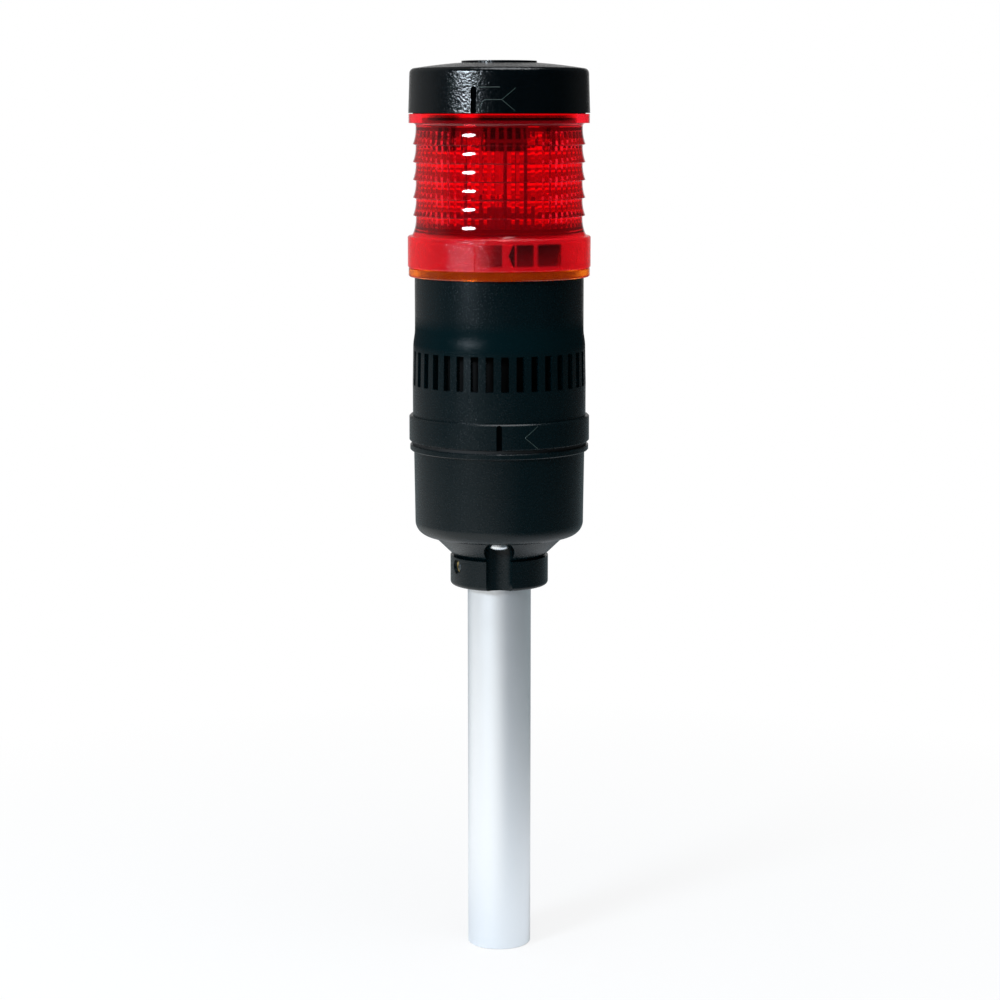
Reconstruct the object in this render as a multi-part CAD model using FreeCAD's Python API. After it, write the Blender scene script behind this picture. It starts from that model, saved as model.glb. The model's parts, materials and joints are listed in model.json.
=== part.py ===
import FreeCAD, Part
import math
import os

from FreeCAD import Vector

# Stack light on a pole: a base, a sounder and one red light module under a cap, joined by twist locks.
# Millimetres. The origin is the centre of the pole's lower end, +Z runs up the pole, -Y is the front.
# A place round the axis is an angle in degrees from the front, positive towards +X.

os.makedirs("parts", exist_ok=True)

# ---------------------------------------------------------------- driving dimensions
# Pole and the adapter that grips it.
pole_d = 25.0
pole_wall = 1.5
pole_edge = 0.3
pole_exposed = 146.7
pole_grip = 17.3
pole_grip_d = 24.6
pole_clearance = 0.05
collar_d = 38.5
collar_h = 11.6
collar_edge = 1.4
cone_low_d = 35.4
cone_top_d = 52.6
cone_h = 8.3
flange_t = 3.0
flange_clearance = 0.15
cable_hole_d = 22.4

# Screws of the adapter: from below, each in its own driver channel.
screw_count = 3
screw_pcd = 43.2
screw_d = 4.0
screw_len = 10.0
screw_head_d = 7.7
screw_head_h = 2.6
screw_head_round = 1.56
screw_hole_clearance = 0.25
cross_len = 4.4
cross_w = 1.0
cross_depth = 1.2
channel_d = 11.8
boss_d = 9.0
boss_h = 9.0
insert_d = 6.0
insert_len = 7.0
thread_clearance = 0.05

# Set screws that clamp the pole, in moulded-in threaded sleeves.
set_screw_d = 5.0
set_screw_len = 5.0
set_screw_key = 2.5
set_screw_key_depth = 2.0
set_screw_drop = 3.4
set_screw_deg = (-60.0, 180.0)
set_sleeve_wall = 1.0
set_sleeve_len = 4.0
set_sleeve_inset = 1.2
set_hole_clearance = 0.25

# Modules. All share one rim, one skirt and one spigot, so that any of them locks to any other.
rim_d = 70.0
skirt_wall = 1.6
spigot_wall = 1.6
spigot_h = 9.8

# Base housing.
base_wall = 3.0
base_draft = 0.4
base_h = 33.8
base_corner = 5.4
floor_t = 2.5
lip_in = 0.1
lip_h = 2.2
lip_edge = 0.3

# Twist lock, the same at every joint.
lock_clearance = 0.3
lock_count = 3
lock_twist_deg = 16.0
lock_gap_deg = 0.6
lug_out = 1.5
lug_span_deg = 12.0
lug_h = 3.0
lug_lift = 0.2
ledge_span_deg = 16.0
ledge_h = 2.0
ledge_raise = 1.0
stop_span_deg = 2.4
line_w = 2.1
line_h = 9.8
line_depth = 1.0
line_to_ledge_deg = 47.5

# Seals between the modules.
base_seal_h = 1.3
base_seal_in = 1.0
seal_clearance = 0.1
light_seal_h = 3.5
light_seal_out = 0.15
light_seal_edge = 0.4
cap_seal_h = 1.1
cap_seal_inset = 0.15

# Sounder housing.
sounder_h = 67.6
sounder_line = 0.0
band_out = 0.2
band_h = 10.1
band_edge = 0.5
sounder_bore_out = 1.0
sounder_wall = 2.8
grille_draft = 0.25
grille_sill = 22.1
flare_raise = 0.5
flare_h = 8.5
neck_wall = 1.85
slot_count = 36
slot_w = 3.0
slot_h = 13.4
slot_phase = 3.8

# Contact plates and their ledges.
plate_t = 2.5
plate_raise = 2.1
plate_clearance = 0.2
ledge_ring_w = 1.7
ledge_ring_h = 2.5
carrier_t = 3.0
carrier_gap = 0.6
contact_count = 5
contact_radius = 17.0
contact_turn_deg = 24.0
contact_w = 3.0
contact_t = 0.6
contact_len = 7.0
contact_head_len = 4.9
pad_span_deg = 20.0
pad_t = 0.4
contact_gap = 0.2
wire_hole_d = 12.0

# Terminal block under the base's plate.
terminal_pitch = 6.5
terminal_depth = 13.0
terminal_h = 13.0
terminal_end = 1.6
terminal_well_d = 4.2
terminal_screw_d = 3.4
terminal_screw_len = 6.0
terminal_screw_sunk = 1.5
terminal_slot_w = 0.8
terminal_slot_depth = 0.9
terminal_back = 9.0
wire_entry_d = 3.2
wire_entry_depth = 8.1
wire_entry_drop = 9.0

# Sounder works.
post_count = 3
post_radius = 20.0
post_d = 5.0
post_tip_d = 3.0
horn_mouth_d = 52.0
horn_throat_d = 16.0
horn_lift = 6.5
horn_round = 9.0
horn_neck = 1.5
horn_wall = 1.6
driver_d = 34.0
driver_h = 15.0
driver_mouth_d = 14.0
driver_mouth_depth = 4.0
driver_rim = 3.0
driver_pocket_h = 1.0
diaphragm_t = 0.4
diaphragm_clearance = 0.3
board_d = 50.0
board_t = 1.6
board_clearance = 0.2
control_drop = 1.5
control_in = 8.5
dial_deg = 90.0
dial_d = 6.0
dial_slot_w = 1.0
dial_slot_depth = 1.2
dial_body = 9.0
dial_body_h = 5.0
dial_clearance = 0.3
tone_deg = -90.0
tone_body_w = 10.0
tone_body_d = 6.0
tone_body_h = 5.0
tone_lever_w = 2.4
tone_lever_d = 1.8
tone_travel = 3.0
tone_clearance = 0.3

# Light module.
light_h = 58.7
light_line = -13.8
lens_bore_out = 0.2
lens_wall = 2.0
lens_band_out = 0.45
lens_band_h = 12.2
lens_band_edge = 0.8
lens_shoulder_w = 0.6
rib_count = 6
rib_pitch = 6.8
rib_out = 1.1
rib_cut = 0.5
rib_hollow = 0.2
rib_above_band = 1.0
lens_flange_in = 0.1
lens_flange_h = 3.5
lens_fillet_r = 1.2
flute_count = 64
flute_depth = 0.45
flute_crest = 0.05
lens_ledge_step = 1.0
crown_drop = 1.5
light_plate_t = 2.5
crown_plate_t = 2.5
crown_block_h = 10.0
crown_block_depth = 3.0
crown_block_in = 4.7
crown_block_w = (9.5, 16.0, 3.0)
crown_block_deg = (-53.0, 5.0, 49.5)
rail_w = 1.2
rail_t = 0.8
rail_x = 6.0
rail_y = 8.3
rail_turn_deg = 5.0

# Lamp: a bayonet LED lamp in a socket.
socket_d = 15.4
socket_wall = 1.5
socket_h = 9.0
lamp_cap_d = 15.0
lamp_cap_h = 12.0
lamp_pin_d = 2.0
lamp_pin_out = 1.1
lamp_pin_drop = 3.0
pin_slot_depth = 5.0
pin_slot_clearance = 0.3
tower_w = 10.0
tower_edge = 1.5
tower_h = 21.0
led_board_w = 6.4
led_board_t = 0.8
led_board_h = 19.0
led_w = 3.0
led_t = 0.7
led_rows = 3
led_pitch = 6.0

# Cap.
cap_draft = 0.5
cap_side_h = 17.0
cap_corner = 2.0
cap_dome_h = 2.6
cap_roof_t = 2.2
cap_gap = 0.3
cap_line = -16.0
cap_ring_d = 29.0
cap_ring_w = 2.0
cap_ring_h = 0.7

# ---------------------------------------------------------------- heights up the stack
pole_top = pole_exposed + pole_grip
collar_top = pole_exposed + collar_h
base_bottom = collar_top + cone_h
flange_top = base_bottom + flange_t
floor_top = flange_top + floor_t
lip_bottom = base_bottom + base_h
lip_top = lip_bottom + lip_h
sounder_joint = lip_top + base_seal_h
sounder_shoulder = sounder_joint + sounder_h - light_seal_h
light_joint = sounder_joint + sounder_h
lens_top = light_joint + light_h
cap_joint = lens_top + cap_gap

# ---------------------------------------------------------------- radii, each from the one it fits
pole_r = pole_d / 2
grip_r = pole_grip_d / 2
screw_r = screw_pcd / 2
rim_r = rim_d / 2
skirt_r = rim_r - skirt_wall
lug_r = skirt_r - lock_clearance
spigot_r = lug_r - lug_out
ledge_r = spigot_r + lock_clearance
cavity_r = spigot_r - spigot_wall
plate_r = cavity_r - plate_clearance
control_radius = cavity_r - control_in
sounder_bore_r = cavity_r + sounder_bore_out
neck_r = sounder_bore_r + neck_wall
band_r = rim_r + band_out
lens_band_r = rim_r + lens_band_out
lens_bore_r = cavity_r + lens_bore_out
crown_block_radius = lens_bore_r - crown_block_in
lens_root_r = lens_bore_r + lens_wall
lens_tip_r = lens_root_r + rib_out

UP = Vector(0, 0, 1)
# The front, -Y, as an angle from +X.
FRONT = -90.0

# A piece that is fused on reaches this far into what carries it, and a cut runs this far past a face.
bury = 0.5
past = 1.0
# Where a soft S-curve bends: this share of its width in and of its height up from each end.
bend_in = 0.15
bend_up = 0.3


# ---------------------------------------------------------------- building blocks
def cylinder(radius, bottom, top, x=0.0, y=0.0):
    return Part.makeCylinder(radius, top - bottom, Vector(x, y, bottom))


def ring(inner, outer, bottom, top):
    return cylinder(outer, bottom, top).cut(cylinder(inner, bottom, top))


def block(width, depth, bottom, top, y=0.0, x=0.0):
    """A box centred on x and y."""
    corner = Vector(x - width / 2, y - depth / 2, bottom)
    return Part.makeBox(width, depth, top - bottom, corner)


def turned(shape, place):
    """A copy turned about the pole's axis, from the front to a place round it."""
    copy = shape.copy()
    copy.rotate(Vector(0, 0, 0), UP, place)
    return copy


def sector(inner, outer, bottom, top, centre, span):
    """A piece of a ring, centred on a place round the axis."""
    start = FRONT + centre - span / 2
    pie = Part.makeCylinder(outer, top - bottom, Vector(0, 0, bottom), UP, span)
    core = Part.makeCylinder(inner, top - bottom, Vector(0, 0, bottom))
    piece = pie.cut(core)
    piece.rotate(Vector(0, 0, 0), UP, start)
    return piece


def revolve(edges):
    """Turn a closed outline, given as edges in the XZ plane, once round the axis."""
    face = Part.Face(Part.Wire(edges))
    return face.revolve(Vector(0, 0, 0), UP, 360)


def at(radius, height):
    return Vector(radius, 0, height)


def lines(*points):
    """Straight edges through (radius, height) points."""
    corners = [at(*point) for point in points]
    return [Part.makeLine(a, b) for a, b in zip(corners, corners[1:])]


def arc(start, middle, end):
    return Part.Arc(at(*start), at(*middle), at(*end)).toShape()


def quarter(centre_r, centre_z, radius, start, end):
    """An arc of a circle in the outline, from one angle to another, in degrees."""
    points = []
    for angle in (start, (start + end) / 2, end):
        turn = math.radians(angle)
        points.append((centre_r + radius * math.cos(turn), centre_z + radius * math.sin(turn)))
    return arc(*points)


def fused(first, others):
    return first.multiFuse(list(others)).removeSplitter()


def around(count, first=0.0):
    return [first + 360.0 * i / count for i in range(count)]


def save(name, shape):
    shape.exportStep("parts/" + name + ".step")
    kinds = [solid.isValid() for solid in shape.Solids]
    print(name, "solids", len(kinds), "valid", all(kinds), "volume", round(shape.Volume, 1))


# ---------------------------------------------------------------- twist lock
def ledge_place(line):
    """Where the first ledge of a module lies, from the place of its line mark."""
    return line + line_to_ledge_deg


def lugs(joint, line):
    """Lugs on the spigot of the module below."""
    bottom = joint + ledge_raise + ledge_h + lug_lift
    places = around(lock_count, ledge_place(line))
    return [sector(spigot_r - bury, lug_r, bottom, bottom + lug_h, place, lug_span_deg) for place in places]


def locks(joint, line):
    """Ledges in the skirt of the module above, each with its stop and the rib that ends the way in."""
    wall = skirt_r + bury
    low = joint + ledge_raise
    high = low + ledge_h + lug_lift + lug_h
    stop = lug_span_deg / 2 + lock_gap_deg + stop_span_deg / 2
    pieces = []
    for place in around(lock_count, ledge_place(line)):
        pieces.append(sector(ledge_r, wall, low, low + ledge_h, place, ledge_span_deg))
        pieces.append(sector(ledge_r, wall, low, high, place + stop, stop_span_deg))
        pieces.append(sector(ledge_r, wall, low, high, place - lock_twist_deg - stop, stop_span_deg))
    return pieces


def line_mark(joint, surface_r, line):
    """The upright groove that shows how two modules line up: open below, round at its top end."""
    depth = 2 * line_depth
    straight = line_h - line_w / 2
    slot = block(line_w, depth, joint - past, joint + straight, y=-surface_r)
    centre = Vector(0, -surface_r - line_depth, joint + straight)
    end = Part.makeCylinder(line_w / 2, depth, centre, Vector(0, 1, 0))
    return turned(slot.fuse(end), line)


# ---------------------------------------------------------------- pole and adapter
def make_pole():
    """A tube with broken edges, turned down a little where the adapter grips it."""
    inner = pole_r - pole_wall
    outline = lines(
        (inner, 0),
        (pole_r - pole_edge, 0),
        (pole_r, pole_edge),
        (pole_r, pole_exposed),
        (grip_r, pole_exposed),
        (grip_r, pole_top),
        (inner, pole_top),
        (inner, 0),
    )
    return revolve(outline)


def set_screw_height():
    return collar_top - set_screw_drop


def radial_cylinder(radius, inner, outer, height, place):
    rod = Part.makeCylinder(radius, outer - inner, Vector(0, -inner, height), Vector(0, -1, 0))
    return turned(rod, place)


def sleeve_start():
    return grip_r + pole_clearance + set_sleeve_inset


def make_adapter():
    bore = grip_r + pole_clearance
    collar_r = collar_d / 2
    cable_r = cable_hole_d / 2
    outline = lines((bore, pole_top), (bore, pole_exposed), (collar_r - collar_edge, pole_exposed))
    outline.append(quarter(collar_r - collar_edge, pole_exposed + collar_edge, collar_edge, -90, 0))
    outline += lines(
        (collar_r, pole_exposed + collar_edge),
        (collar_r, collar_top),
        (cone_low_d / 2, collar_top),
        (cone_top_d / 2, base_bottom),
        (cone_top_d / 2, flange_top),
        (cable_r, flange_top),
        (cable_r, pole_top),
        (bore, pole_top),
    )
    body = revolve(outline)
    cuts = []
    for place in around(screw_count):
        cuts.append(turned(cylinder(channel_d / 2, pole_exposed - past, base_bottom, y=-screw_r), place))
        hole_r = screw_d / 2 + screw_hole_clearance
        cuts.append(turned(cylinder(hole_r, base_bottom, flange_top, y=-screw_r), place))
    height = set_screw_height()
    for place in set_screw_deg:
        start = sleeve_start()
        sleeve_r = set_screw_d / 2 + set_sleeve_wall
        cuts.append(radial_cylinder(sleeve_r, start, start + set_sleeve_len, height, place))
        hole_r = set_screw_d / 2 + set_hole_clearance
        cuts.append(radial_cylinder(hole_r, grip_r - past, collar_r + past, height, place))
    return body.cut(cuts)


def make_adapter_screws():
    """Pan-head screws, heads down, each with a cross recess."""
    head_low = base_bottom - screw_head_h
    one = cylinder(screw_d / 2, base_bottom - bury, base_bottom + screw_len)
    head = cylinder(screw_head_d / 2, head_low, base_bottom)
    rim = [edge for edge in head.Edges if edge.BoundBox.ZMax < head_low + screw_head_h / 2]
    head = head.makeFillet(screw_head_round, rim)
    cross = block(cross_len, cross_w, head_low - past, head_low + cross_depth)
    cross = cross.fuse(block(cross_w, cross_len, head_low - past, head_low + cross_depth))
    one = one.fuse(head).removeSplitter().cut(cross)
    one.translate(Vector(0, -screw_r, 0))
    return Part.makeCompound([turned(one, place) for place in around(screw_count)])


def make_adapter_inserts():
    low = flange_top + floor_t + boss_h - insert_len
    one = ring(screw_d / 2 + thread_clearance, insert_d / 2, low, low + insert_len)
    one.translate(Vector(0, -screw_r, 0))
    return Part.makeCompound([turned(one, place) for place in around(screw_count)])


def make_set_screws():
    """Headless screws whose inner ends bear on the pole, with a hexagon key socket outside."""
    height = set_screw_height()
    screws = []
    for place in set_screw_deg:
        rod = radial_cylinder(set_screw_d / 2, grip_r, grip_r + set_screw_len, height, 0)
        corner = set_screw_key / math.sqrt(3)
        points = [Vector(corner * math.cos(math.radians(a)), 0, corner * math.sin(math.radians(a)))
                  for a in range(0, 361, 60)]
        socket = Part.Face(Part.makePolygon(points)).extrude(Vector(0, -set_screw_key_depth - past, 0))
        socket.translate(Vector(0, -grip_r - set_screw_len + set_screw_key_depth, height))
        screws.append(turned(rod.cut(socket), place))
    return Part.makeCompound(screws)


def make_set_sleeves():
    height = set_screw_height()
    start = sleeve_start()
    outer = set_screw_d / 2 + set_sleeve_wall
    inner = set_screw_d / 2 + thread_clearance
    sleeves = []
    for place in set_screw_deg:
        end = start + set_sleeve_len
        rod = radial_cylinder(outer, start, end, height, place)
        sleeves.append(rod.cut(radial_cylinder(inner, start - past, end + past, height, place)))
    return Part.makeCompound(sleeves)


# ---------------------------------------------------------------- base
def make_base():
    low_r = cavity_r + base_wall
    lip_r = rim_r - lip_in
    recess_r = cone_top_d / 2 + flange_clearance
    cable_r = cable_hole_d / 2
    spigot_top = sounder_joint + spigot_h
    ledge_top = sounder_joint + plate_raise
    ledge_in = cavity_r - ledge_ring_w
    outline = lines((recess_r, flange_top), (recess_r, base_bottom), (low_r - base_corner, base_bottom))
    outline.append(quarter(low_r - base_corner, base_bottom + base_corner, base_corner, -90, 0))
    outline += lines(
        (low_r, base_bottom + base_corner),
        (low_r + base_draft, lip_bottom),
        (lip_r - lip_edge, lip_bottom),
        (lip_r, lip_bottom + lip_edge),
        (lip_r, lip_top - lip_edge),
        (lip_r - lip_edge, lip_top),
        (spigot_r, lip_top),
        (spigot_r, spigot_top),
        (cavity_r, spigot_top),
        (cavity_r, ledge_top),
        (ledge_in, ledge_top),
        (ledge_in, ledge_top - ledge_ring_h),
        (cavity_r, ledge_top - ledge_ring_h - ledge_ring_w),
        (cavity_r, floor_top),
        (cable_r, floor_top),
        (cable_r, flange_top),
        (recess_r, flange_top),
    )
    body = revolve(outline)
    boss_top = floor_top + boss_h
    one = cylinder(boss_d / 2, floor_top - bury, boss_top, y=-screw_r)
    bosses = [turned(one, place) for place in around(screw_count)]
    body = fused(body, lugs(sounder_joint, sounder_line) + bosses)
    cuts = []
    for place in around(screw_count):
        hole_r = screw_d / 2 + screw_hole_clearance
        cuts.append(turned(cylinder(hole_r, flange_top - past, boss_top, y=-screw_r), place))
        insert_low = boss_top - insert_len
        seat = cylinder(insert_d / 2, insert_low, boss_top + past, y=-screw_r)
        cuts.append(turned(seat, place))
    return body.cut(cuts)


def contact_places():
    """Contacts lie on an arc at the front of each plate."""
    middle = (contact_count - 1) / 2
    return [contact_turn_deg * (i - middle) for i in range(contact_count)]


def terminal_block_size():
    return contact_count * terminal_pitch + 2 * terminal_end


def terminal_xs():
    middle = (contact_count - 1) / 2
    return [terminal_pitch * (i - middle) for i in range(contact_count)]


def contact_plate(joint):
    """A disc on the spigot's inner ledge, with a hole for the wires."""
    bottom = joint + plate_raise
    return ring(wire_hole_d / 2, plate_r, bottom, bottom + plate_t)


def make_base_plate():
    bottom = sounder_joint + plate_raise
    plate = contact_plate(sounder_joint)
    top = bottom + plate_t
    well_r = terminal_well_d / 2
    holes = [cylinder(well_r, bottom - past, top + past, x, terminal_back) for x in terminal_xs()]
    return plate.cut(holes)


def contact_springs(joint):
    """Bent leaf contacts: a foot on the plate, a riser and a sprung head that meets the pad above."""
    floor = joint + plate_raise + plate_t
    head = joint + spigot_h + carrier_gap - pad_t - contact_gap
    leaves = []
    for place in contact_places():
        foot = block(contact_w, contact_len, floor, floor + contact_t, y=-contact_radius)
        riser_y = -contact_radius - contact_len / 2 + contact_t / 2
        riser = block(contact_w, contact_t, floor, head, y=riser_y)
        head_y = riser_y + contact_head_len / 2 - contact_t / 2
        sprung = block(contact_w, contact_head_len, head - contact_t, head, y=head_y)
        leaves.append(turned(foot.fuse([riser, sprung]).removeSplitter(), place))
    return Part.makeCompound(leaves)


def contact_pads(joint):
    """Flat arcs under the carrier above, long enough to stay on their springs through the twist."""
    bottom = joint + spigot_h + carrier_gap - pad_t
    inner = contact_radius - contact_len / 2
    outer = contact_radius + contact_len / 2
    pads = [sector(inner, outer, bottom, bottom + pad_t, place, pad_span_deg) for place in contact_places()]
    return Part.makeCompound(pads)


def terminal_screw_low():
    """The screws stand on the bottoms of their wells, sunk below the plate."""
    return sounder_joint + plate_raise - terminal_screw_len - terminal_screw_sunk


def make_terminal_block():
    top = sounder_joint + plate_raise
    body = block(terminal_block_size(), terminal_depth, top - terminal_h, top, y=terminal_back)
    cuts = []
    for x in terminal_xs():
        cuts.append(cylinder(terminal_well_d / 2, terminal_screw_low(), top + past, x, terminal_back))
        start = Vector(x, terminal_back - terminal_depth / 2 - past, top - wire_entry_drop)
        cuts.append(Part.makeCylinder(wire_entry_d / 2, wire_entry_depth + past, start, Vector(0, 1, 0)))
    return body.cut(cuts)


def make_terminal_screws():
    low = terminal_screw_low()
    screws = []
    for x in terminal_xs():
        rod = cylinder(terminal_screw_d / 2, low, low + terminal_screw_len, x, terminal_back)
        top = low + terminal_screw_len
        slot_low = top - terminal_slot_depth
        slot = block(terminal_screw_d + past, terminal_slot_w, slot_low, top + past, y=terminal_back, x=x)
        screws.append(rod.cut(slot))
    return Part.makeCompound(screws)


def make_base_seal():
    return ring(spigot_r + seal_clearance, rim_r - base_seal_in, lip_top, sounder_joint)


# ---------------------------------------------------------------- sounder
def carrier_bottom(joint):
    return joint + spigot_h + carrier_gap


def make_sounder_housing():
    joint = sounder_joint
    bore_r = sounder_bore_r
    low_r = bore_r + sounder_wall
    top_r = low_r - grille_draft
    flare_low = joint + grille_sill + slot_h + flare_raise
    flare_top = flare_low + flare_h
    shoulder = sounder_shoulder
    carrier_top = carrier_bottom(joint) + carrier_t
    ledge_in = bore_r - ledge_ring_w
    ring_top = light_joint + plate_raise
    ring_in = cavity_r - ledge_ring_w
    outline = lines(
        (skirt_r, joint),
        (band_r - band_edge, joint),
        (band_r, joint + band_edge),
        (band_r, joint + band_h - band_edge),
        (band_r - band_edge, joint + band_h),
        (low_r, joint + band_h),
        (low_r, joint + grille_sill),
        (top_r, flare_low),
    )
    step = top_r - neck_r
    middle = (top_r - step / 2, flare_low + flare_h / 2)
    lower_bend = (top_r - step * bend_in, flare_low + flare_h * bend_up)
    upper_bend = (neck_r + step * bend_in, flare_top - flare_h * bend_up)
    outline.append(arc((top_r, flare_low), lower_bend, middle))
    outline.append(arc(middle, upper_bend, (neck_r, flare_top)))
    outline += lines(
        (neck_r, flare_top),
        (neck_r, shoulder - lip_edge),
        (neck_r - lip_edge, shoulder),
        (spigot_r, shoulder),
        (spigot_r, light_joint + spigot_h),
        (cavity_r, light_joint + spigot_h),
        (cavity_r, ring_top),
        (ring_in, ring_top),
        (ring_in, ring_top - ledge_ring_h),
        (bore_r, ring_top - ledge_ring_h - (bore_r - ring_in)),
        (bore_r, carrier_top + ledge_ring_w),
        (ledge_in, carrier_top + ledge_ring_w),
        (ledge_in, carrier_top),
        (bore_r, carrier_top),
        (bore_r, carrier_bottom(joint)),
        (skirt_r, carrier_bottom(joint)),
        (skirt_r, joint),
    )
    body = revolve(outline)
    body = fused(body, locks(joint, sounder_line) + lugs(light_joint, light_line))
    low = joint + grille_sill
    slot_depth = 2 * (low_r - bore_r + past)
    one = block(slot_w, slot_depth, low, low + slot_h, y=-(bore_r + low_r) / 2)
    slots = [turned(one, place) for place in around(slot_count, slot_phase)]
    return body.cut(slots + [line_mark(joint, band_r, sounder_line)])


def carrier_disc(joint, radius, thickness):
    bottom = carrier_bottom(joint)
    return ring(wire_hole_d / 2, radius, bottom, bottom + thickness)


def board_height():
    """Underside of the sounder's circuit board."""
    return light_joint + plate_raise - dial_body_h - board_t


def make_sounder_carrier():
    """The lower contact carrier and the three stepped posts that hold the board."""
    disc = carrier_disc(sounder_joint, sounder_bore_r - plate_clearance, carrier_t)
    floor = carrier_bottom(sounder_joint) + carrier_t - bury
    posts = []
    for place in around(post_count):
        posts.append(turned(cylinder(post_d / 2, floor, board_height(), y=-post_radius), place))
        tip_top = light_joint + plate_raise
        tip = cylinder(post_tip_d / 2, board_height() - bury, tip_top, y=-post_radius)
        posts.append(turned(tip, place))
    return fused(disc, posts)


def driver_low():
    return board_height() - driver_h


def make_horn():
    """A bell hung from the driver, open below: the sound goes down, out and through the slots."""
    outer = horn_mouth_d / 2
    throat = horn_throat_d / 2
    low = carrier_bottom(sounder_joint) + carrier_t + horn_lift
    top = driver_low()
    roof = top - horn_neck
    inner_round = horn_round - horn_wall
    outline = lines((outer - horn_wall, low), (outer, low), (outer, roof - horn_round))
    outline.append(quarter(outer - horn_round, roof - horn_round, horn_round, 0, 90))
    outline += lines(
        (outer - horn_round, roof),
        (throat + horn_wall, roof),
        (throat + horn_wall, top),
        (throat, top),
        (throat, roof - horn_wall),
        (outer - horn_round, roof - horn_wall),
    )
    outline.append(quarter(outer - horn_round, roof - horn_round, inner_round, 90, 0))
    outline += lines((outer - horn_wall, roof - horn_round), (outer - horn_wall, low))
    one = cylinder(post_d / 2 + board_clearance, low - past, top + past, y=-post_radius)
    return revolve(outline).cut([turned(one, place) for place in around(post_count)])


def make_driver():
    """The sound driver's closed can under the board, with its mouth facing down."""
    low = driver_low()
    can = cylinder(driver_d / 2, low, board_height())
    seat = low + driver_mouth_depth
    can = can.cut(cylinder(driver_mouth_d / 2, low - past, seat))
    pocket_r = driver_d / 2 - driver_rim
    return can.cut(cylinder(pocket_r, seat - driver_pocket_h, seat + diaphragm_t))


def make_diaphragm():
    seat = driver_low() + driver_mouth_depth
    radius = driver_d / 2 - driver_rim - diaphragm_clearance
    return cylinder(radius, seat, seat + diaphragm_t)


def make_board():
    low = board_height()
    board = cylinder(board_d / 2, low, low + board_t)
    hole = post_tip_d / 2 + board_clearance
    one = cylinder(hole, low - past, low + board_t + past, y=-post_radius)
    return board.cut([turned(one, place) for place in around(post_count)])


def dial_seat():
    """Top of the volume control's body, on which its dial turns."""
    return board_height() + board_t + dial_body_h - control_drop


def make_dial_body():
    low = board_height() + board_t
    body = block(dial_body, dial_body, low, dial_seat(), y=-control_radius)
    return turned(body, dial_deg)


def make_dial():
    low = dial_seat()
    top = light_joint + plate_raise + plate_t
    dial = cylinder(dial_d / 2, low, top, y=-control_radius)
    slot = block(dial_d + past, dial_slot_w, top - dial_slot_depth, top + past, y=-control_radius)
    return turned(dial.cut(slot), dial_deg)


def tone_seat():
    return board_height() + board_t + tone_body_h - control_drop


def make_tone_body():
    low = board_height() + board_t
    body = block(tone_body_w, tone_body_d, low, tone_seat(), y=-control_radius)
    return turned(body, tone_deg)


def make_tone_lever():
    top = light_joint + plate_raise + plate_t
    lever = block(tone_lever_w, tone_lever_d, tone_seat(), top, y=-control_radius, x=-tone_travel / 2)
    return turned(lever, tone_deg)


def make_sounder_plate():
    """The upper plate, open over the volume dial and the tone lever."""
    plate = contact_plate(light_joint)
    low = light_joint + plate_raise - past
    high = light_joint + plate_raise + plate_t + past
    dial_hole = turned(cylinder(dial_d / 2 + dial_clearance, low, high, y=-control_radius), dial_deg)
    window_w = tone_lever_w + tone_travel + 2 * tone_clearance
    window_d = tone_lever_d + 2 * tone_clearance
    window = turned(block(window_w, window_d, low, high, y=-control_radius), tone_deg)
    return plate.cut([dial_hole, window])


def make_light_seal():
    inner = spigot_r + seal_clearance
    outer = rim_r + light_seal_out
    edge = light_seal_edge
    low = sounder_shoulder
    outline = lines(
        (inner, low),
        (outer - edge, low),
        (outer, low + edge),
        (outer, light_joint - edge),
        (outer - edge, light_joint),
        (inner, light_joint),
        (inner, low),
    )
    return revolve(outline)


# ---------------------------------------------------------------- light module
def rib_tips():
    """Heights of the ribs' tips, from the lowest up. The lowest one runs out into the band's shoulder."""
    lowest = light_joint + lens_band_h + rib_above_band
    return [lowest + rib_pitch * i for i in range(rib_count)]


def crown_seat():
    """Top of the lens's inner ledge, which carries the crown plate."""
    return lens_top - crown_plate_t - crown_drop


def light_plate_low():
    return carrier_bottom(light_joint)


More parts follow.
